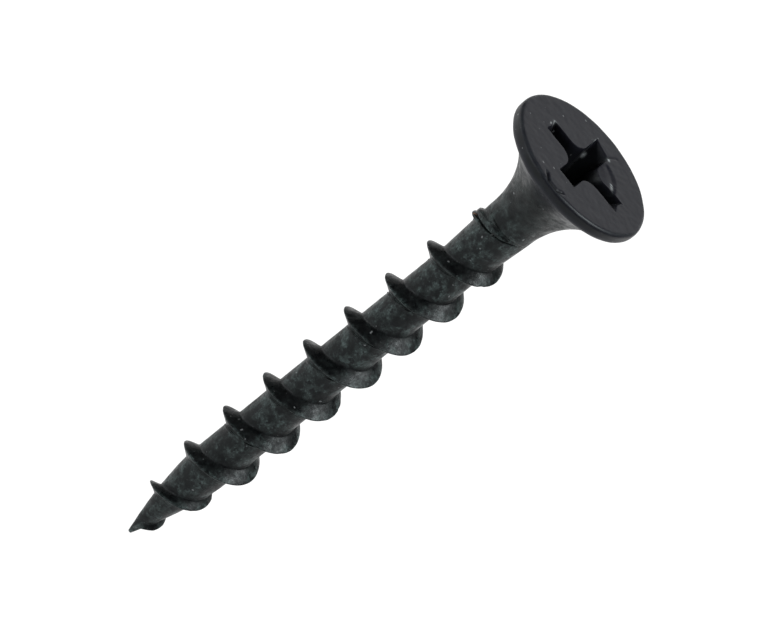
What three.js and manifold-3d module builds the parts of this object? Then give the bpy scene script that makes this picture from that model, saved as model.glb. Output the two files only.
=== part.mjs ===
// A coarse-thread bugle-head wood screw, 1-1/4 in long, with a no. 2 cross recess.
// It is one piece: a length of steel wire with its head forged and its thread and point rolled.
// Millimetres. The axis is Z, with the head up. The origin is the middle of the flat head face,
// so the plane z = 0 is the surface that the screw is driven flush with.
import * as THREE from "three";
import { mergeVertices } from "three/addons/utils/BufferGeometryUtils.js";
import Module from "manifold-3d";

// Driving dimensions.
const LENGTH = 31.75; // flat of the head to the point
const HEAD_RADIUS = 4.13;
const RIM_THICKNESS = 0.7; // the straight band round the edge of the head
const RIM_EDGE = 0.13; // the round between the band and the flat
const BUGLE_DEPTH = 4.98; // flat of the head to where the trumpet flare leaves the neck
const NECK_RADIUS = 1.345;
const SWELL_START = 8.6; // flat of the head to where the core begins to swell into the neck
const SWELL_END = 5; // flat of the head to where it has reached the neck's full size
const CORE_RADIUS = 1.14;
const CREST_RADIUS = 1.885;
const PITCH = 2.858; // one right-hand flight, so this is also the advance in one turn
const PHASE = 0.345; // where the flight crosses the XZ plane, as a share of the pitch
const FLANK_HALF_WIDTH = 0.48; // half of the flight's width where it leaves the core
const CREST_HALF_WIDTH = 0.04;
const POINT_LENGTH = 5.78;
const TIP_RADIUS = 0.09;
const POINT_FULLNESS = 1.585; // 1 is a straight cone, more is a fuller ogive
const FLIGHT_START = 0.5; // from the point to where the flight begins
const FLIGHT_RISE = 7; // length over which it grows to its full height
const RUN_OUT_START = 8.4; // flat of the head to where the flight begins to fade
const RUN_OUT_END = 5.05; // flat of the head to where it has gone

// Cross recess, no. 2.
const RECESS_SPAN = 5.08; // wing tip to wing tip at the flat
const RECESS_FLOOR_SPAN = 2.3;
const RECESS_DEPTH = 2.3; // to the foot of the wings
const RECESS_CONE = 0.5; // depth of the conical bottom below them
const WING_WIDTH = 1.1;
const RECESS_CORE_RADIUS = 1.15; // the round that the steel corners between the wings are cut to
const RECESS_CORE_FOOT = 0.95;
const CUT_ABOVE = 0.4; // how far the cutters start above the flat

// Fineness of the facets.
const ROUND_SEGMENTS = 40;
const STEPS_PER_TURN = 24;
const POINT_ROWS = 9;
const FLARE_ROWS = 10;
const SINK = 0.16; // how deep the flight's root is buried in the core

const wasm = await Module();
wasm.setup();

// A closed three.js geometry as a solid that can be joined and cut.
function solid(geometry) {
  const bare = geometry.clone();
  bare.deleteAttribute("normal");
  bare.deleteAttribute("uv");
  const merged = mergeVertices(bare, 1e-4);
  const vertProperties = new Float32Array(merged.attributes.position.array);
  const triVerts = new Uint32Array(merged.index.array);
  return new wasm.Manifold(new wasm.Mesh({ numProp: 3, vertProperties, triVerts }));
}

// A solid back as a three.js geometry, with flat facets.
function geometryOf(made) {
  const mesh = made.getMesh();
  const geometry = new THREE.BufferGeometry();
  geometry.setAttribute("position", new THREE.BufferAttribute(mesh.vertProperties, 3));
  geometry.setIndex(new THREE.BufferAttribute(mesh.triVerts, 1));
  const faceted = geometry.toNonIndexed();
  faceted.computeVertexNormals();
  return faceted;
}

// Radius of the ogive point, core and neck at height z, without the thread.
function shankRadius(z) {
  const alongPoint = THREE.MathUtils.clamp((z + LENGTH) / POINT_LENGTH, 0, 1);
  const ogive = 1 - Math.pow(1 - alongPoint, POINT_FULLNESS);
  const core = THREE.MathUtils.lerp(TIP_RADIUS, CORE_RADIUS, ogive);
  const swell = THREE.MathUtils.clamp((z + SWELL_START) / (SWELL_START - SWELL_END), 0, 1);
  return core + (NECK_RADIUS - CORE_RADIUS) * swell;
}

// Height of the flight above the core: it grows from the point and fades out on the neck.
function flightHeight(z) {
  const grown = THREE.MathUtils.clamp((z + LENGTH - FLIGHT_START) / FLIGHT_RISE, 0, 1);
  const left = THREE.MathUtils.clamp((-RUN_OUT_END - z) / (RUN_OUT_START - RUN_OUT_END), 0, 1);
  return (CREST_RADIUS - CORE_RADIUS) * Math.sqrt(grown) * left;
}

// The turned outline from the point up to the flat, in radius and height.
function turnedProfile() {
  const profile = [new THREE.Vector2(0, -LENGTH)];
  for (let i = 0; i <= POINT_ROWS; i++) {
    const z = -LENGTH + (POINT_LENGTH * i) / POINT_ROWS;
    profile.push(new THREE.Vector2(shankRadius(z), z));
  }
  profile.push(new THREE.Vector2(CORE_RADIUS, -SWELL_START));

  // The flare is an arc that leaves the neck in line with it and ends at the rim.
  const rise = BUGLE_DEPTH - RIM_THICKNESS;
  const reach = HEAD_RADIUS - NECK_RADIUS;
  const arcRadius = (rise * rise + reach * reach) / (2 * reach);
  const sweep = Math.asin(rise / arcRadius);
  for (let i = 0; i <= FLARE_ROWS; i++) {
    const angle = (sweep * i) / FLARE_ROWS;
    const radius = NECK_RADIUS + arcRadius * (1 - Math.cos(angle));
    profile.push(new THREE.Vector2(radius, -BUGLE_DEPTH + arcRadius * Math.sin(angle)));
  }
  profile.push(new THREE.Vector2(HEAD_RADIUS, -RIM_EDGE));
  profile.push(new THREE.Vector2(HEAD_RADIUS - 0.3 * RIM_EDGE, -0.3 * RIM_EDGE));
  profile.push(new THREE.Vector2(HEAD_RADIUS - RIM_EDGE, 0));
  profile.push(new THREE.Vector2(0, 0));
  return profile;
}

// Point, core, neck and head without thread or recess.
function blank() {
  const turned = new THREE.LatheGeometry(turnedProfile(), ROUND_SEGMENTS);
  turned.rotateX(Math.PI / 2);
  return solid(turned);
}

// The helix that the flight's root follows, just under the surface of the core.
class FlightPath extends THREE.Curve {
  heightAt(t) {
    return THREE.MathUtils.lerp(-LENGTH + FLIGHT_START, -RUN_OUT_END, t);
  }

  angleAt(t) {
    return 2 * Math.PI * (this.heightAt(t) / PITCH - PHASE);
  }

  getPoint(t, target = new THREE.Vector3()) {
    const z = this.heightAt(t);
    const radius = shankRadius(z) - SINK;
    const angle = this.angleAt(t);
    return target.set(radius * Math.cos(angle), radius * Math.sin(angle), z);
  }

  getSpacedPoints(divisions) {
    return this.getPoints(divisions);
  }

  // The section stands square to the axis, and shrinks with the height of the flight.
  computeFrenetFrames(segments) {
    const frames = { tangents: [], normals: [], binormals: [] };
    for (let i = 0; i <= segments; i++) {
      const t = i / segments;
      const angle = this.angleAt(t);
      const size = (flightHeight(this.heightAt(t)) + SINK) / (CREST_RADIUS - CORE_RADIUS + SINK);
      const outward = new THREE.Vector3(Math.cos(angle), Math.sin(angle), 0);
      frames.tangents.push(new THREE.Vector3(-Math.sin(angle), Math.cos(angle), 0));
      frames.normals.push(outward.multiplyScalar(size));
      frames.binormals.push(new THREE.Vector3(0, 0, -size));
    }
    return frames;
  }
}

// The V-shaped thread flight, from the point to its run-out on the neck.
function flight() {
  const height = CREST_RADIUS - CORE_RADIUS;
  const flank = (FLANK_HALF_WIDTH - CREST_HALF_WIDTH) / height;
  const root = FLANK_HALF_WIDTH + flank * SINK;
  const section = new THREE.Shape();
  section.moveTo(0, -root);
  section.lineTo(SINK + height, -CREST_HALF_WIDTH);
  section.lineTo(SINK + height, CREST_HALF_WIDTH);
  section.lineTo(0, root);
  section.closePath();
  const turns = (LENGTH - FLIGHT_START - RUN_OUT_END) / PITCH;
  const steps = Math.round(turns * STEPS_PER_TURN);
  return solid(new THREE.ExtrudeGeometry(section, { steps, extrudePath: new FlightPath() }));
}

// One pair of opposite wings of the recess: a slab whose ends slope in towards the foot.
function wingPair() {
  const slope = (RECESS_SPAN - RECESS_FLOOR_SPAN) / 2 / RECESS_DEPTH;
  const top = RECESS_SPAN / 2 + slope * CUT_ABOVE;
  const side = new THREE.Shape();
  side.moveTo(-top, CUT_ABOVE);
  side.lineTo(-RECESS_FLOOR_SPAN / 2, -RECESS_DEPTH);
  side.lineTo(RECESS_FLOOR_SPAN / 2, -RECESS_DEPTH);
  side.lineTo(top, CUT_ABOVE);
  side.closePath();
  const slab = new THREE.ExtrudeGeometry(side, { depth: WING_WIDTH, bevelEnabled: false });
  slab.translate(0, 0, -WING_WIDTH / 2);
  slab.rotateX(Math.PI / 2);
  return slab;
}

// The middle of the recess: a slightly tapered round with a conical bottom.
function recessCore() {
  const profile = [
    new THREE.Vector2(0, -RECESS_DEPTH - RECESS_CONE),
    new THREE.Vector2(RECESS_CORE_FOOT, -RECESS_DEPTH),
    new THREE.Vector2(RECESS_CORE_RADIUS, CUT_ABOVE),
    new THREE.Vector2(0, CUT_ABOVE),
  ];
  const turned = new THREE.LatheGeometry(profile, 16);
  turned.rotateX(Math.PI / 2);
  return turned;
}

// The whole cutter for the cross recess, with its wings along X and Y.
function recess() {
  const along = solid(wingPair());
  const across = solid(wingPair().rotateZ(Math.PI / 2));
  return solid(recessCore()).add(along).add(across);
}

function steel() {
  return new THREE.MeshStandardMaterial({
    name: "black_phosphate_steel",
    color: 0x2e3032,
    roughness: 0.6,
    metalness: 0.8,
  });
}

const screw = new THREE.Mesh(geometryOf(blank().add(flight()).subtract(recess())), steel());
screw.name = "screw";

const part = new THREE.Group();
part.name = "wood_screw";
part.add(screw);

export default part;
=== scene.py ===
"""A bugle-head wood screw in black phosphated steel, standing on its point on a lit white floor."""

import math

import bmesh
import bpy
import numpy as np
from mathutils import Matrix, Vector, noise


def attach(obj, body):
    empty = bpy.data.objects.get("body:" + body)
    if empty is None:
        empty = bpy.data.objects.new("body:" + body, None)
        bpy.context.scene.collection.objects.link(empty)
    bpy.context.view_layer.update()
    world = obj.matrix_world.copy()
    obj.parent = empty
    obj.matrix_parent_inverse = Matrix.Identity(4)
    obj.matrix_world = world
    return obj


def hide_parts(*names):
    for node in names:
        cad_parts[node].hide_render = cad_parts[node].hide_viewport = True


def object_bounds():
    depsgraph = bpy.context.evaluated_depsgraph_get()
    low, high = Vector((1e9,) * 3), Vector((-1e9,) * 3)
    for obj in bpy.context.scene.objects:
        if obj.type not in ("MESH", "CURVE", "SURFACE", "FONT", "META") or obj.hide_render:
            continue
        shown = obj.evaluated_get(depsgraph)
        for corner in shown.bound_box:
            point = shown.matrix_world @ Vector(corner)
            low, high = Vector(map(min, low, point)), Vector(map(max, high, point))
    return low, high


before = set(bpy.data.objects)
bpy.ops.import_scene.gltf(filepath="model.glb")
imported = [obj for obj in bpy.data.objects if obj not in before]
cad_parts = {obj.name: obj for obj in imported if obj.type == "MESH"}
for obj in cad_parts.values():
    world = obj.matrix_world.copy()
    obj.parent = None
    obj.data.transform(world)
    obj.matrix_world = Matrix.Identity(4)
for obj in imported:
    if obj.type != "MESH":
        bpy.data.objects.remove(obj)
cad_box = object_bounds()
MM = 0.001

# The camera looks down on the head from one side, from far off, with the picture turned so that
# the screw runs from the lower left up to the right.
ELEVATION = math.radians(27.48)
ROLL = math.radians(38.95)  # how far the screw's axis leans up from level in the picture
DISTANCE = 544.6 * MM
LENS = 534.5
AIMED_AT = -15.79 * MM  # height on the screw's axis
ASIDE = 1.263 * MM  # from that place to the picture's middle
ABOVE = 1.755 * MM

towards_camera = Vector((0, -math.cos(ELEVATION), math.sin(ELEVATION)))
along_screw = Vector((0, math.sin(ELEVATION), math.cos(ELEVATION)))
across_screw = Vector((-1, 0, 0))
picture_right = along_screw * math.cos(ROLL) - across_screw * math.sin(ROLL)
picture_up = along_screw * math.sin(ROLL) + across_screw * math.cos(ROLL)

camera = bpy.data.objects.new("camera", bpy.data.cameras.new("camera"))
bpy.context.scene.collection.objects.link(camera)
camera.data.lens = LENS
camera.data.clip_start = 0.01
turn = Matrix((picture_right, picture_up, towards_camera)).transposed()
place = Vector((0, 0, AIMED_AT)) + picture_right * ASIDE + picture_up * ABOVE + towards_camera * DISTANCE
camera.matrix_world = Matrix.Translation(place) @ turn.to_4x4()
bpy.context.scene.camera = camera

# The floor is a sheet of white acrylic lit from below, level with the screw's point, so nothing
# throws a shadow on it that can be seen.
FLOOR_SIZE = 3.0
FLOOR_WHITE = 0.08
FLOOR_GLOW = 1.0
floor_bm = bmesh.new()
bmesh.ops.create_grid(floor_bm, x_segments=1, y_segments=1, size=FLOOR_SIZE / 2)
bmesh.ops.translate(floor_bm, vec=(0, 0, cad_box[0][2]), verts=floor_bm.verts)
floor_mesh = bpy.data.meshes.new("floor")
floor_bm.to_mesh(floor_mesh)
floor_bm.free()
floor = bpy.data.objects.new("floor", floor_mesh)
bpy.context.scene.collection.objects.link(floor)
acrylic = bpy.data.materials.new("white_acrylic")
acrylic.use_nodes = True
acrylic_shader = acrylic.node_tree.nodes["Principled BSDF"]
acrylic_shader.inputs["Base Color"].default_value = (FLOOR_WHITE, FLOOR_WHITE, FLOOR_WHITE, 1)
acrylic_shader.inputs["Roughness"].default_value = 0.9
acrylic_shader.inputs["Emission Color"].default_value = (1, 1, 1, 1)
acrylic_shader.inputs["Emission Strength"].default_value = FLOOR_GLOW
floor_mesh.materials.append(acrylic)

# Five soft boxes hang in a dark room: two overhead, two low on the left and a weak one behind. The
# room's wall is pale at the level of the floor.
SOFT_BOXES = (
    # name, bearing from +X, height above the floor, strength, apparent width
    ("right_soft_box", 5, 60, 1.0, 30),
    ("top_soft_box", 0, 80, 0.1, 35),
    ("front_left_soft_box", 220, 5, 0.5, 35),
    ("left_soft_box", 170, 10, 0.25, 35),
    ("back_soft_box", 90, 12, 0.15, 45),
)
for name, bearing, height, strength, width in SOFT_BOXES:
    lamp = bpy.data.lights.new(name, "SUN")
    lamp.energy = math.pi * strength
    lamp.angle = math.radians(width)
    box = bpy.data.objects.new(name, lamp)
    box.rotation_euler = (math.radians(90 - height), 0, math.radians(bearing + 90))
    bpy.context.scene.collection.objects.link(box)

# How bright the wall is low down and above, and the heights between which it changes, as the sine
# of the angle above level.
PALE_WALL, DARK_WALL = 0.3, 0.01
WALL_CHANGES = (0.03, 0.05)
room = bpy.data.worlds.new("room")
bpy.context.scene.world = room
room.use_nodes = True
air = room.node_tree
looking = air.nodes.new("ShaderNodeTexCoord")
split = air.nodes.new("ShaderNodeSeparateXYZ")
wall = air.nodes.new("ShaderNodeMapRange")
wall.inputs["From Min"].default_value, wall.inputs["From Max"].default_value = WALL_CHANGES
wall.inputs["To Min"].default_value = PALE_WALL
wall.inputs["To Max"].default_value = DARK_WALL
air.links.new(looking.outputs["Generated"], split.inputs["Vector"])
air.links.new(split.outputs["Z"], wall.inputs["Value"])
air.links.new(wall.outputs["Result"], air.nodes["Background"].inputs["Strength"])
air.nodes["Background"].inputs["Color"].default_value = (1, 1, 1, 1)
bpy.context.scene.view_settings.view_transform = "Standard"

# The screw is one piece of steel wire, with its head forged and its thread and point rolled, then
# dipped in zinc or manganese phosphate, which leaves a dull black skin.
# All lengths are in millimetres until the mesh is finished, as on the maker's drawing.
LENGTH = 31.75
PITCH = 2.858
PHASE = 0.345
CORE_RADIUS = 1.145
TIP_RADIUS = 0.085
POINT_LENGTH = 5.78
POINT_FULLNESS = 1.585
NECK_RADIUS = 1.352
SWELL_START = 8.6  # below the head face, where the core begins to swell into the neck
SWELL_END = 5.0
COLUMNS = 90  # facets in one turn of the thread

# The rolled flight: distance from the point, height above the core, half width at the foot.
GROWTH = (
    (0.45, 0.00, 0.18),
    (1.2, 0.33, 0.32),
    (2.85, 0.54, 0.30),
    (4.3, 0.40, 0.40),
    (5.7, 0.60, 0.47),
    (7.1, 0.69, 0.475),
    (9.1, 0.708, 0.475),
    (14.0, 0.75, 0.475),
    (20.0, 0.753, 0.475),
    (22.7, 0.71, 0.475),
    (24.4, 0.54, 0.46),
    (25.0, 0.40, 0.38),
    (25.6, 0.12, 0.30),
    (25.9, 0.0, 0.24),
)
# It ends on the neck as a fading ridge, a groove and a low band: distance from the point, height of
# the ridge and of the band.
RUN_OUT = (
    (24.7, 0.00, 0.00),
    (25.3, 0.14, 0.14),
    (25.75, 0.22, 0.24),
    (26.1, 0.10, 0.13),
    (26.25, 0.00, 0.11),
    (26.7, 0.00, 0.05),
    (27.1, 0.00, 0.00),
)
GROOVE_HALF_WIDTH, GROOVE_DEPTH = 0.045, 0.10
# The band also carries a short thin crease, this far from the ridge.
CREASE_FROM_RIDGE = 0.56
CREASE_HALF_WIDTH, CREASE_DEPTH = 0.04, 0.03
CREST_ROUND = 0.07  # share of the half width that the crest's round takes up
FOOT_FILLET = 0.03
# Knocks on the crest: distance from the point, depth, and how far the ridge climbs in half of one.
NICKS = (
    (4.42, 0.12, 0.04),
    (7.62, 0.05, 0.02),
    (12.9, 0.04, 0.02),
    (17.31, 0.05, 0.025),
    (23.9, 0.05, 0.03),
)


def shank_radius(z):
    """The point, core and neck without the thread."""
    along = min(max((z + LENGTH) / POINT_LENGTH, 0.0), 1.0)
    core = TIP_RADIUS + (CORE_RADIUS - TIP_RADIUS) * (1 - (1 - along) ** POINT_FULLNESS)
    swell = min(max((z + SWELL_START) / (SWELL_START - SWELL_END), 0.0), 1.0)
    return core + (NECK_RADIUS - CORE_RADIUS) * swell


def off_ridge(angle, z):
    """How far along the axis a place lies from the thread's ridge, towards the head if positive."""
    turns = z / PITCH - angle / (2 * math.pi) - PHASE
    return (turns - math.floor(turns + 0.5)) * PITCH


def flight_at(ridge_z):
    """Height and half width of the flight where its ridge passes this height."""
    steps = [g[0] for g in GROWTH]
    from_point = ridge_z + LENGTH
    height = np.interp(from_point, steps, [g[1] for g in GROWTH])
    half = np.interp(from_point, steps, [g[2] for g in GROWTH])
    return float(height), float(half)


def smooth_step(value, low, high):
    """0 below low, 1 above high, and an even curve between them."""
    share = min(max((value - low) / (high - low), 0.0), 1.0)
    return share * share * (3 - 2 * share)


def close_by(distance, reach):
    """1 at no distance, fading evenly to next to nothing at twice this reach."""
    return math.exp(-((distance / reach) ** 2))


def below_flare(z):
    """1 on the neck, and 0 by the height where the flare begins."""
    return 1 - smooth_step(z, -5.25, -5.0)


def run_out_groove(away, ridge_z):
    """How deep in the groove of the run-out a place lies, from 0 to 1, and where the groove runs."""
    from_point = ridge_z + LENGTH
    # It draws in towards the ridge's line as it goes round.
    runs_at = 0.17 - 0.16 * smooth_step(from_point, 25.75, 26.4)
    there = smooth_step(from_point, 25.0, 25.6) * below_flare(away + ridge_z)
    return there * close_by(away - runs_at, GROOVE_HALF_WIDTH), runs_at


def run_out_crease(away, ridge_z):
    """How deep in the band's thin crease a place lies, from 0 to 1."""
    from_point = ridge_z + LENGTH
    there = smooth_step(from_point, 25.7, 25.9) * (1 - smooth_step(from_point, 26.1, 26.2))
    return there * below_flare(away + ridge_z) * close_by(away - CREASE_FROM_RIDGE, CREASE_HALF_WIDTH)


def run_out(away, ridge_z):
    """The end of the flight on the neck: how far it stands above the core and flight."""
    from_point = ridge_z + LENGTH
    steps = [r[0] for r in RUN_OUT]
    ridge_height = float(np.interp(from_point, steps, [r[1] for r in RUN_OUT]))
    band_height = float(np.interp(from_point, steps, [r[2] for r in RUN_OUT]))
    groove, runs_at = run_out_groove(away, ridge_z)
    ridge = ridge_height * smooth_step(away, -0.17, -0.03)
    ridge *= 1 - smooth_step(away, runs_at - 0.08, runs_at)
    fades_by = 0.60 + 0.7 * smooth_step(from_point, 26.0, 26.3)
    band = band_height * smooth_step(away, runs_at, runs_at + 0.06)
    band *= 1 - smooth_step(away, 0.42, fades_by)
    raised = (ridge + band) * below_flare(away + ridge_z)
    return raised - GROOVE_DEPTH * groove - CREASE_DEPTH * run_out_crease(away, ridge_z)


def along_ridge(ridge_z, height):
    """Length along the thread's ridge, for marks that follow it."""
    return ridge_z / PITCH * 2 * math.pi * (CORE_RADIUS + height)


# The rolling dies leave a ragged fold, with a groove beside it, along the foot of the flight on the
# point's side: how far from the foot each lies, its height or depth, and its half width.
FOLD = (0.105, 0.03, 0.028)
FOLD_GROOVE = (0.045, 0.034, 0.024)


def rolling_seam(away, half, girth):
    """How far the fold and its groove stand out of the skin here."""
    away += 0.03 * noise.noise((girth * 0.7, 1.3, 5.0))
    raggedness = smooth_step(noise.noise((girth * 1.1, 4.4, 2.0)), -0.25, 0.35)
    fold = FOLD[1] * close_by(away + half + FOLD[0], FOLD[2])
    groove = FOLD_GROOVE[1] * close_by(away + half + FOLD_GROOVE[0], FOLD_GROOVE[2])
    return (fold - groove) * raggedness


def near_line(place, start, end):
    """Distance from a place to a straight line between two others."""
    along = end - start
    share = min(max((place - start).dot(along) / along.length_squared, 0.0), 1.0)
    return (place - start - along * share).length


# Light scuffs on the bare shank below the run-out: bearing in degrees and height of their ends.
SCUFFS = (((-124, -7.05), (-107, -7.30)), ((-107, -7.30), (-90, -6.75)), ((-112, -6.95), (-92, -7.02)))
SCUFF_HALF_WIDTH, SCUFF_DEPTH = 0.075, 0.03


def scuffed(angle, z):
    """How much of a scuff lies here, from 0 to 1."""
    here = Vector((angle * CORE_RADIUS, z))
    distances = []
    for ends in SCUFFS:
        line = [Vector((math.radians(bearing) * CORE_RADIUS, height)) for bearing, height in ends]
        distances.append(near_line(here, *line))
    return close_by(min(distances), SCUFF_HALF_WIDTH)


def threaded_radius(angle, z):
    """The rolled shank: core, flight with its round crest and filleted foot, and rolling marks."""
    away = off_ridge(angle, z)
    ridge_z = z - away
    height, half = flight_at(ridge_z)
    girth = along_ridge(ridge_z, height)
    height *= 1 + 0.035 * noise.noise((girth * 0.9, 3.7, 0)) + 0.02 * noise.noise((girth * 3.1, 9.2, 0))
    for place, depth, width in NICKS:
        height -= depth * close_by(ridge_z + LENGTH - place, width)
    across = abs(away) / half
    vee = height * (1 - math.sqrt(across * across + CREST_ROUND * CREST_ROUND)) / (1 - CREST_ROUND)
    grown = min(height / 0.3, 1.0)
    fillet = FOOT_FILLET * grown
    rise = 0.5 * (vee + math.sqrt(vee * vee + fillet * fillet))
    seam = rolling_seam(away, half, girth) * grown
    return shank_radius(z) + rise + run_out(away, ridge_z) + seam - SCUFF_DEPTH * scuffed(angle, z)


def hammered(place):
    """Shallow unevenness of the whole skin, in millimetres."""
    coarse = noise.noise(place * 1.3)
    fine = noise.noise(place * 3.4 + Vector((7.1, 0, 0)))
    return 0.006 * coarse + 0.005 * fine


# One pitch of the outline is swept round as a helix, so its rows follow the thread. They are crowded
# near the ridge, and again where the rolling seam lies.
ROWS_EACH_SIDE = 24
CROWDING = 1.55
SEAM_ROWS = 7
SEAM_LOW, SEAM_HIGH = -0.66, -0.48
outline = []
for i in range(-ROWS_EACH_SIDE, ROWS_EACH_SIDE + 1):
    share = i / ROWS_EACH_SIDE
    outline.append(math.copysign(abs(share) ** CROWDING, share) * PITCH / 2)
outline = [away for away in outline if not SEAM_LOW < away < SEAM_HIGH]
outline += [SEAM_LOW + (SEAM_HIGH - SEAM_LOW) * i / SEAM_ROWS for i in range(SEAM_ROWS + 1)]
outline.sort()
first_turn = -math.ceil(LENGTH / PITCH)
TURNS = 11  # from below the point to above the neck
start_z = (first_turn + PHASE) * PITCH
steel = bmesh.new()
row = [steel.verts.new((CORE_RADIUS, 0, start_z + away)) for away in outline]
for low, high in zip(row, row[1:]):
    steel.edges.new((low, high))
bmesh.ops.spin(
    steel,
    geom=steel.verts[:] + steel.edges[:],
    cent=(0, 0, 0),
    axis=(0, 0, 1),
    dvec=(0, 0, PITCH / COLUMNS),
    angle=2 * math.pi,
    steps=COLUMNS,
)
one_turn = steel.verts[:] + steel.edges[:] + steel.faces[:]
for turn_number in range(1, TURNS):
    copied = bmesh.ops.duplicate(steel, geom=one_turn)
    copied_verts = [g for g in copied["geom"] if isinstance(g, bmesh.types.BMVert)]
    bmesh.ops.translate(steel, vec=(0, 0, PITCH * turn_number), verts=copied_verts)
bmesh.ops.remove_doubles(steel, verts=steel.verts, dist=0.004)
# How worn, how darkened by painted shade and how bare each place is goes with the mesh, for the finish to
# read.
wear = steel.verts.layers.float.new("wear")
painted_shade = steel.verts.layers.float.new("painted_shade")
bare = steel.verts.layers.float.new("bare")
SHADED_SIDE = 215  # bearing of the side turned from the light, whose upper flank gets painted shade
for v in steel.verts:
    angle = math.atan2(v.co.y, v.co.x)
    radius = threaded_radius(angle, v.co.z)
    v.co.x = radius * math.cos(angle)
    v.co.y = radius * math.sin(angle)
    away = off_ridge(angle, v.co.z)
    ridge_z = v.co.z - away
    height, half = flight_at(ridge_z)
    girth = along_ridge(ridge_z, height)
    standing = min(height / 0.4, 1.0)
    handled = 0.15 + 0.85 * smooth_step(noise.noise((girth * 0.35, 6.1, 0)), 0.12, 0.3)
    v[wear] = standing * handled * close_by(away, 0.055)
    # Painted shade darkens the corners at the foot of the flight, mostly on the head's side,
    # and the flank that faces the point just under the crest.
    painted_flight_shade = 0.9 * close_by(away - half, 0.2) + 0.3 * close_by(away + half, 0.12)
    painted_flight_shade += 0.9 * close_by(away + 0.2, 0.1)
    # Painted shade also covers the upper flank on the side turned from the light.
    on_shaded_side = smooth_step(math.cos(angle - math.radians(SHADED_SIDE)), -0.2, 0.6)
    upper_flank = smooth_step(away, 0.04, 0.12) * (1 - smooth_step(away, half, half + 0.15))
    painted_flight_shade = max(painted_flight_shade, 0.85 * on_shaded_side * upper_flank)
    # The groove beside the rolling seam gets painted shade too.
    seam_groove = smooth_step(-rolling_seam(away, half, girth), 0.0, 0.02)
    v[painted_shade] = standing * min(1.0, max(painted_flight_shade, seam_groove))
    # Painted shade also darkens the run-out's groove, its thin crease and the scuffs.
    groove = run_out_groove(away, ridge_z)[0]
    v[painted_shade] = max(v[painted_shade], min(1.0, 1.2 * groove), 0.7 * run_out_crease(away, ridge_z))
    v[painted_shade] = max(v[painted_shade], 0.8 * scuffed(angle, v.co.z))

# The sweep is trimmed square at the neck and just short of the point.
NECK_CUT = 4.98
TIP_CUT = 0.03
everything = steel.verts[:] + steel.edges[:] + steel.faces[:]
bmesh.ops.bisect_plane(
    steel, geom=everything, plane_co=(0, 0, -NECK_CUT), plane_no=(0, 0, 1), clear_outer=True
)
everything = steel.verts[:] + steel.edges[:] + steel.faces[:]
bmesh.ops.bisect_plane(
    steel, geom=everything, plane_co=(0, 0, -LENGTH + TIP_CUT), plane_no=(0, 0, 1), clear_inner=True
)


def open_edges(bm, low, high):
    """The open edges of a mesh that lie between two heights."""
    return [e for e in bm.edges if e.is_boundary and all(low < v.co.z < high for v in e.verts)]


# The very point is drawn in by one narrow ring and closed.
TIP_RING_SHARE, TIP_RING_HEIGHT = 0.55, 0.01
tip = bmesh.ops.extrude_edge_only(steel, edges=open_edges(steel, -LENGTH, -LENGTH + 2 * TIP_CUT))
tip_ring = [g for g in tip["geom"] if isinstance(g, bmesh.types.BMVert)]
for v in tip_ring:
    v.co = (TIP_RING_SHARE * v.co.x, TIP_RING_SHARE * v.co.y, -LENGTH + TIP_RING_HEIGHT)
tip = bmesh.ops.extrude_edge_only(steel, edges=open_edges(steel, -LENGTH, -LENGTH + 2 * TIP_RING_HEIGHT))
tip_ring = [g for g in tip["geom"] if isinstance(g, bmesh.types.BMVert)]
bmesh.ops.pointmerge(steel, verts=tip_ring, merge_co=(0, 0, -LENGTH))

# The cross recess is punched into the flat. Its mouth is a plus with rounded steel corners, and the
# driver has knocked its wing ends about: how far each of their two corners reaches from the middle.
WING_ENDS = ((2.70, 2.63), (2.42, 2.84), (2.48, 2.45), (2.30, 2.33))
END_HOLLOW = (0.14, 0.03, 0.05, 0.02)  # how far the middle of each end is pressed in
WING_WIDTH = 1.1
CORNER_ROUND = 0.78
WING_END_ROUND = 0.05
RECESS_DEPTH = 2.3
FOOT_SHARE = 0.45  # size of the recess at its foot, as a share of its mouth
MOUTH_EDGE = 1.035  # how much wider the rounded edge of the mouth is than its walls

half_wing = WING_WIDTH / 2
cross = bmesh.new()
corners = []
for quarter, ends in enumerate(WING_ENDS):
    to_wing = Matrix.Rotation(math.radians(90 * quarter), 2)
    for x, y in ((ends[0], -half_wing), (ends[1], half_wing), (half_wing, half_wing)):
        place = to_wing @ Vector((x, y))
        corners.append(cross.verts.new((place.x, place.y, 0)))
cross.faces.new(corners)
wing_corners = [v for v in cross.verts if v.co.length > WING_WIDTH]
bmesh.ops.bevel(
    cross, geom=wing_corners, offset=WING_END_ROUND, offset_type="OFFSET", affect="VERTICES", segments=2,
    profile=0.5, material=-1,
)
steel_corners = [v for v in cross.verts if v.co.length < WING_WIDTH]
bmesh.ops.bevel(
    cross, geom=steel_corners, offset=CORNER_ROUND, offset_type="OFFSET", affect="VERTICES", segments=20,
    profile=0.5, material=-1,
)
# Long straights are halved until they are about as short as the facets of the rounds.
for halving in range(4):
    straights = [e for e in cross.edges if e.calc_length() > 0.6 / 2**halving]
    bmesh.ops.subdivide_edges(cross, edges=straights, cuts=1)
for v in cross.verts:
    quarter = round(math.atan2(v.co.y, v.co.x) / math.radians(90)) % 4
    to_wing = Matrix.Rotation(math.radians(90 * quarter), 2)
    place = to_wing.inverted() @ v.co.xy
    reach = sum(WING_ENDS[quarter]) / 2
    at_end = smooth_step(place.x, reach - 0.35, reach - 0.05)
    place.x -= at_end * END_HOLLOW[quarter] * (1 - (place.y / half_wing) ** 2)
    v.co.xy = to_wing @ place
bmesh.ops.delete(cross, geom=cross.faces[:], context="FACES_ONLY")
cross_mesh = bpy.data.meshes.new("cross")
cross.to_mesh(cross_mesh)
HEAD_COLUMNS = len(cross.verts)
cross.free()

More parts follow.
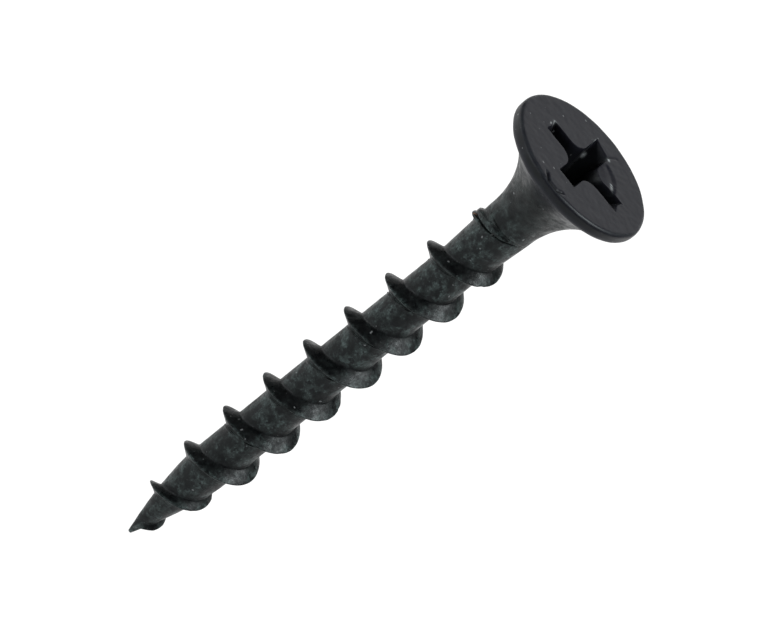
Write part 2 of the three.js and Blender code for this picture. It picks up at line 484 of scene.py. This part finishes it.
# Head: the trumpet flare, the rim and the outer part of the flat, turned as one outline.
HEAD_RADIUS = 4.113
RIM = 0.72
BUGLE_DEPTH = 4.98
RIM_LOWER_ROUND = 0.32
RIM_LOWER_SWEEP = 60  # degrees of arc in that round
RIM_UPPER_ROUND = 0.2
FACE_INNER = 3.15

rise = BUGLE_DEPTH - RIM
reach = HEAD_RADIUS - 0.5 * RIM_LOWER_ROUND - NECK_RADIUS
flare = (rise * rise + reach * reach) / (2 * reach)
sweep = math.asin(rise / flare)
# From the neck: the flare.
FLARE_ROWS = 40
profile = []
for i in range(FLARE_ROWS + 1):
    a = sweep * i / FLARE_ROWS
    profile.append((NECK_RADIUS + flare * (1 - math.cos(a)), -BUGLE_DEPTH + flare * math.sin(a)))
# The round below the rim's band.
for i in range(1, 7):
    a = math.radians(-RIM_LOWER_SWEEP + RIM_LOWER_SWEEP * i / 6)
    radius = HEAD_RADIUS - RIM_LOWER_ROUND * (1 - math.cos(a))
    climbed = RIM_LOWER_ROUND * (math.sin(a) + math.sin(math.radians(RIM_LOWER_SWEEP)))
    profile.append((radius, -RIM + climbed))
# The straight band, and the round above it.
low = profile[-1][1]
for i in range(1, 4):
    profile.append((HEAD_RADIUS, low + (-RIM_UPPER_ROUND - low) * i / 4))
for i in range(7):
    a = math.radians(90 * i / 6)
    radius = HEAD_RADIUS - RIM_UPPER_ROUND * (1 - math.cos(a))
    profile.append((radius, -RIM_UPPER_ROUND * (1 - math.sin(a))))
# The flat, in to where the rings round the recess take over.
inset = HEAD_RADIUS - RIM_UPPER_ROUND
for i in range(1, 14):
    profile.append((inset + (FACE_INNER - inset) * i / 13, 0))

head = bmesh.new()
row = [head.verts.new((r, 0, z)) for r, z in profile]
for low_end, high_end in zip(row, row[1:]):
    head.edges.new((low_end, high_end))
bmesh.ops.spin(
    head,
    geom=head.verts[:] + head.edges[:],
    cent=(0, 0, 0),
    axis=(0, 0, 1),
    angle=2 * math.pi,
    steps=HEAD_COLUMNS,
    use_merge=True,
)
head_mesh = bpy.data.meshes.new("head")
head.to_mesh(head_mesh)
head.free()
steel.from_mesh(head_mesh)
bpy.data.meshes.remove(head_mesh)
bmesh.ops.bridge_loops(steel, edges=open_edges(steel, -NECK_CUT - 0.01, -NECK_CUT + 0.01))

# The inner part of the flat runs in rings from the circle to the mouth of the recess.
known = set(steel.verts)
steel.from_mesh(cross_mesh)
bpy.data.meshes.remove(cross_mesh)
mouth = [v for v in steel.verts if v not in known]
for v in mouth:
    v.co.x *= MOUTH_EDGE
    v.co.y *= MOUTH_EDGE


def in_order(ring):
    """The vertices of a closed ring, anticlockwise from the one nearest the +X axis."""
    members = set(ring)
    first = min(ring, key=lambda v: abs(math.atan2(v.co.y, v.co.x)))
    ordered = [first]
    beside = [e.other_vert(first) for e in first.link_edges]
    following = max((v for v in beside if v in members), key=lambda v: v.co.y)
    while following is not first:
        ordered.append(following)
        onward = [e.other_vert(following) for e in following.link_edges]
        following = next(v for v in onward if v in members and v is not ordered[-2])
    return ordered


def next_ring(ring):
    """Extrude a ring of vertices and give back the new ring, in the same order."""
    members = set(ring)
    edges = [e for e in steel.edges if (e.is_boundary or e.is_wire) and all(v in members for v in e.verts)]
    made = bmesh.ops.extrude_edge_only(steel, edges=edges)
    new_verts = {v for v in made["geom"] if isinstance(v, bmesh.types.BMVert)}
    return [next(e.other_vert(v) for e in v.link_edges if e.other_vert(v) in new_verts) for v in ring]


FACE_RINGS = 16
mouth_ring = in_order(mouth)
mouth_places = [v.co.copy() for v in mouth_ring]
ring = mouth_ring
for i in range(1, FACE_RINGS + 1):
    ring = next_ring(ring)
    share = i / FACE_RINGS
    for k, v in enumerate(ring):
        a = 2 * math.pi * k / HEAD_COLUMNS
        rim_place = Vector((FACE_INNER * math.cos(a), FACE_INNER * math.sin(a), 0))
        v.co = mouth_places[k].lerp(rim_place, share)
joint = [v for v in steel.verts if abs(v.co.z) < 0.001 and abs(v.co.length - FACE_INNER) < 0.002]
bmesh.ops.remove_doubles(steel, verts=joint, dist=0.002)

# The mouth's edge is rounded over. Below it the walls shrink evenly with depth, down to a blunt cone.
# Each ring is a share of the mouth's size and a depth.
WALL_ROWS = 12
wall_rings = [(1.022, 0.0), (1.01, 0.006), (1.0, 0.025), (0.992, 0.06)]
below_edge, edge_depth = wall_rings[-1]
for i in range(1, WALL_ROWS + 1):
    depth = edge_depth + (RECESS_DEPTH - edge_depth) * i / WALL_ROWS
    wall_rings.append((below_edge - (below_edge - FOOT_SHARE) * i / WALL_ROWS, depth))
wall_rings += [(0.3, RECESS_DEPTH + 0.16), (0.15, RECESS_DEPTH + 0.3)]
ring = mouth_ring
for share, depth in wall_rings:
    ring = next_ring(ring)
    for k, v in enumerate(ring):
        v.co = mouth_places[k] * (share / MOUTH_EDGE)
        v.co.z = -depth
ring = next_ring(ring)
bmesh.ops.pointmerge(steel, verts=ring, merge_co=(0, 0, -RECESS_DEPTH - 0.38))

# Use has marked the head. A driver that slipped has pressed one corner of the flat down as far as
# its own shoulder reaches, and the near edge of the flat carries a knock with a nick at each end.
SLUMP_REACH = 2.08
SLUMP_FROM, SLUMP_TO = 6, 74  # bearings of its two ends, in degrees
SLUMP_DEPTH = 0.045
SLUMP_DEEPER = 0.05  # how much more it sinks by the recess
KNOCK = (Vector((-0.80, -3.50)), Vector((-0.46, -3.92)), Vector((0.20, -3.94)), Vector((0.42, -3.66)))
KNOCK_DEPTH, KNOCK_HALF_WIDTH = 0.10, 0.065
# The driver has also scratched the flat beside one wing, and rubbed the slump's edge bright.
SLIP = (Vector((0.48, 2.45)), Vector((0.80, 3.12)))
SLIP_DEPTH, SLIP_HALF_WIDTH = 0.035, 0.05
RUBBED_LINE = (Vector((1.63, 1.02)), Vector((1.98, 0.42)))
RUBBED_LINE_HALF_WIDTH = 0.04
# Spots by the wing ends and on the rim are rubbed paler: middle and half width.
RUBBED_SPOTS = (
    (Vector((-2.46, 0.46)), 0.12),
    (Vector((-2.30, 0.62)), 0.06),
    (Vector((0.52, 2.43)), 0.11),
    (Vector((-0.60, 2.45)), 0.08),
    (Vector((4.02, -0.30)), 0.10),
)
# Bright burrs that the driver has raised at the wing ends and on the slump's edge: their two ends
# and half width.
BURRS = (
    (Vector((-2.44, 0.50, 0)), Vector((-2.38, 0.36, -0.05)), 0.07),
    (Vector((-2.52, 0.10, 0)), Vector((-2.50, -0.10, -0.1)), 0.04),
    (Vector((-0.53, 2.66, 0)), Vector((-0.46, 2.30, -0.15)), 0.05),
    (Vector((-0.50, 2.45, -0.1)), Vector((-0.40, 2.20, -0.3)), 0.04),
    (Vector((0.56, 2.42, 0)), Vector((0.62, 2.36, 0)), 0.06),
    (Vector((-0.36, 2.26, -0.76)), Vector((-0.36, 2.22, -0.86)), 0.07),
    (Vector((1.58, 1.02, -0.05)), Vector((1.76, 0.72, -0.05)), 0.035),
)
MARKS_DEPTH = 0.3  # how far below the flat its marks have faded out


def slump_at(radius, bearing):
    """How far the flat is pressed down here."""
    slumped = smooth_step(SLUMP_REACH - radius, -0.03, 0.05)
    slumped *= smooth_step(bearing, SLUMP_FROM, SLUMP_FROM + 8)
    slumped *= 1 - smooth_step(bearing, SLUMP_TO - 8, SLUMP_TO)
    return slumped * (SLUMP_DEPTH + SLUMP_DEEPER * smooth_step(SLUMP_REACH - radius, 0.3, 1.0))


def sharp_dents(place):
    """How deep the knock and the scratch are here."""
    from_knock = min(near_line(place, start, end) for start, end in zip(KNOCK, KNOCK[1:]))
    knock = KNOCK_DEPTH * close_by(from_knock, KNOCK_HALF_WIDTH)
    return knock + SLIP_DEPTH * close_by(near_line(place, *SLIP), SLIP_HALF_WIDTH)


for v in steel.verts:
    depth = -v.co.z
    place = v.co.xy
    radius = place.length
    if depth > BUGLE_DEPTH:
        continue
    # The blank isn't quite round.
    v.co.x *= 1 + 0.006 * smooth_step(radius, 2.2, 4.0)
    if depth < MARKS_DEPTH and radius > half_wing:
        bearing = math.degrees(math.atan2(place.y, place.x))
        sharp = sharp_dents(place)
        v.co.z -= (slump_at(radius, bearing) + sharp) * smooth_step(MARKS_DEPTH - depth, 0.0, 0.25)
        # Painted shade darkens the knock and the scratch.
        v[painted_shade] = min(1.0, 10 * sharp)
        v[wear] = max(
            close_by(near_line(place, *RUBBED_LINE), RUBBED_LINE_HALF_WIDTH),
            max(close_by((place - spot).length, size) for spot, size in RUBBED_SPOTS),
            0.35 * smooth_step(radius, 3.93, 4.0) * smooth_step(0.12 - depth, 0, 0.08),
        )
    v[bare] = max(close_by(near_line(v.co, start, end), size) for start, end, size in BURRS)
    # A patchy band of painted shade lies on the rim, below the edge of the flat, and the rim swells and
    # thins a little.
    if radius > 3.9 and depth < RIM:
        patchy = 0.75 + 0.5 * noise.noise(v.co * 1.7)
        on_rim = smooth_step(depth, 0.06, 0.20) * (1 - smooth_step(depth, 0.32, 0.48))
        v[painted_shade] = max(v[painted_shade], patchy * on_rim)
        swell = 0.018 * noise.noise(v.co * 1.1 + Vector((0, 5.3, 0)))
        v.co.xy *= 1 + swell / radius
    # Painted shade blackens the recess. Its walls lie inside a cone that the flare stays clear of.
    if 0.02 < depth < RECESS_DEPTH + 0.5 and radius < 2.75 * (1 - depth / 6):
        v[painted_shade] = max(v[painted_shade], 0.8 * smooth_step(depth, 0.02, 0.35))

bmesh.ops.recalc_face_normals(steel, faces=steel.faces)
steel.normal_update()
for v in steel.verts:
    v.co += v.normal * hammered(v.co) * smooth_step(v.co.z + LENGTH, 0.05, 0.6)
bmesh.ops.scale(steel, vec=(MM, MM, MM), verts=steel.verts)
for f in steel.faces:
    f.smooth = True
screw_mesh = bpy.data.meshes.new("screw_steel")
steel.to_mesh(screw_mesh)
steel.free()
screw = bpy.data.objects.new("screw_steel", screw_mesh)
bpy.context.scene.collection.objects.link(screw)

# Black phosphate is a crust of fine dark crystals with a film of oil in it: mottled, greenish on
# the rolled shank and bluish on the forged head, paler where it is rubbed, and near black where painted
# shade lies.
phosphate = bpy.data.materials.new("black_phosphate")
phosphate.use_nodes = True
tree = phosphate.node_tree
shader = tree.nodes["Principled BSDF"]
shader.inputs["Specular IOR Level"].default_value = 0.20
shader.inputs["Specular Tint"].default_value = (0.90, 0.98, 1.0, 1)
where = tree.nodes.new("ShaderNodeTexCoord").outputs["Object"]


def grain(per_mm, detail, shift=0.0, roughness=0.6):
    """Noise with this many features in a millimetre."""
    shifted = tree.nodes.new("ShaderNodeMapping")
    shifted.inputs["Location"].default_value = (shift * MM, 0, 0)
    made = tree.nodes.new("ShaderNodeTexNoise")
    made.inputs["Scale"].default_value = per_mm / MM
    made.inputs["Detail"].default_value = detail
    made.inputs["Roughness"].default_value = roughness
    tree.links.new(where, shifted.inputs["Vector"])
    tree.links.new(shifted.outputs["Vector"], made.inputs["Vector"])
    return made.outputs["Fac"]


def limits(value, low, high, to_low=0.0, to_high=1.0):
    """A value brought from one span to another, and held there."""
    made = tree.nodes.new("ShaderNodeMapRange")
    for place, number in (("From Min", low), ("From Max", high), ("To Min", to_low), ("To Max", to_high)):
        made.inputs[place].default_value = number
    tree.links.new(value, made.inputs["Value"])
    return made.outputs["Result"]


def product(first, second):
    """One value times another."""
    made = tree.nodes.new("ShaderNodeMath")
    made.operation = "MULTIPLY"
    tree.links.new(first, made.inputs[0])
    tree.links.new(second, made.inputs[1])
    return made.outputs["Value"]


def layered(under, over, share):
    """One colour over another, by share. Either is a colour or a socket."""
    made = tree.nodes.new("ShaderNodeMix")
    made.data_type = "RGBA"
    for socket, colour in ((made.inputs[6], under), (made.inputs[7], over)):
        if isinstance(colour, tuple):
            socket.default_value = (*colour, 1)
        else:
            tree.links.new(colour, socket)
    tree.links.new(share, made.inputs[0])
    return made.outputs[2]


def measured(name):
    """A layer of the mesh, as a value."""
    made = tree.nodes.new("ShaderNodeAttribute")
    made.attribute_name = name
    return made.outputs["Fac"]


def distance_from(place):
    """Distance from a place that is given in millimetres."""
    made = tree.nodes.new("ShaderNodeVectorMath")
    made.operation = "DISTANCE"
    made.inputs[1].default_value = [c * MM for c in place]
    tree.links.new(where, made.inputs[0])
    return made.outputs["Value"]


axes = tree.nodes.new("ShaderNodeSeparateXYZ")
tree.links.new(where, axes.inputs["Vector"])
on_head = limits(axes.outputs["Z"], -2.2 * MM, -0.4 * MM)
along_shank = limits(axes.outputs["Z"], -5.8 * MM, -3.5 * MM, 1, 0.08)
patches = grain(1.6, 6, 0, 0.68)
crystals = grain(5.5, 4, 31, 0.7)

# Dark and pale patches, strong on the shank and hardly there on the flare and the head.
SHANK_DARK, SHANK_PALE = (0.0014, 0.0020, 0.0021), (0.0290, 0.0395, 0.0385)
HEAD_DARK, HEAD_PALE = (0.0078, 0.0080, 0.0122), (0.0105, 0.0108, 0.0165)
dark = layered(SHANK_DARK, HEAD_DARK, on_head)
pale = layered(SHANK_PALE, HEAD_PALE, on_head)
colour = layered(dark, pale, product(limits(patches, 0.42, 0.66), limits(along_shank, 0, 0.6, 0.18, 1)))

# Coarser crystals glint in the pale patches, and small pits stay black.
CRYSTAL = (0.070, 0.095, 0.093)
PIT = (0.002, 0.0025, 0.003)
spangle = product(limits(crystals, 0.48, 0.62), limits(patches, 0.46, 0.62))
colour = layered(colour, CRYSTAL, product(spangle, along_shank))
pits = limits(grain(4.2, 3, 12), 0.55, 0.60, 0, 0.95)
colour = layered(colour, PIT, product(pits, along_shank))

# Then wear, painted shade, specks of dust, the burrs' bare steel and one spot of rust on the run-out.
RUBBED = (0.040, 0.048, 0.049)
PAINTED_SHADE = (0.0018, 0.0020, 0.0024)
DUST = (0.16, 0.17, 0.175)
BARE_STEEL = (0.34, 0.37, 0.38)
RUST = (0.22, 0.11, 0.055)
RUST_SPOT = (-1.46, -0.42, -5.87)
rubbed = product(measured("wear"), limits(grain(2.4, 3, 55), 0.3, 0.55, 0.1, 0.8))
colour = layered(colour, RUBBED, rubbed)
# Painted shade: near black wherever the mesh's shade layer is set.
colour = layered(colour, PAINTED_SHADE, limits(measured("painted_shade"), 0.0, 1.0, 0.0, 0.97))
colour = layered(colour, DUST, limits(grain(3.6, 1, 77, 0.4), 0.75, 0.78, 0, 0.8))
colour = layered(colour, BARE_STEEL, measured("bare"))
colour = layered(colour, RUST, limits(distance_from(RUST_SPOT), 0.07 * MM, 0.17 * MM, 0.9, 0.0))
tree.links.new(colour, shader.inputs["Base Color"])

# The dullness wanders along the shank, and is even on the head.
HEAD_DULLNESS = 0.42
dullness = tree.nodes.new("ShaderNodeMix")
tree.links.new(on_head, dullness.inputs[0])
tree.links.new(limits(grain(2.2, 6, 90, 0.7), 0.36, 0.62, 0.27, 0.58), dullness.inputs[2])
dullness.inputs[3].default_value = HEAD_DULLNESS
tree.links.new(dullness.outputs[0], shader.inputs["Roughness"])

# The crystals and the patches stand up from the skin, and much less on the head.
lumps = tree.nodes.new("ShaderNodeBump")
lumps.inputs["Strength"].default_value = 0.5
lumps.inputs["Distance"].default_value = 0.05 * MM
tree.links.new(product(patches, limits(on_head, 0, 1, 1, 0.2)), lumps.inputs["Height"])
skin = tree.nodes.new("ShaderNodeBump")
skin.inputs["Strength"].default_value = 0.6
skin.inputs["Distance"].default_value = 0.02 * MM
tree.links.new(product(crystals, limits(on_head, 0, 1, 1, 0.1)), skin.inputs["Height"])
tree.links.new(lumps.outputs["Normal"], skin.inputs["Normal"])
tree.links.new(skin.outputs["Normal"], shader.inputs["Normal"])
screw_mesh.materials.append(phosphate)

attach(screw, "root")
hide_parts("screw")
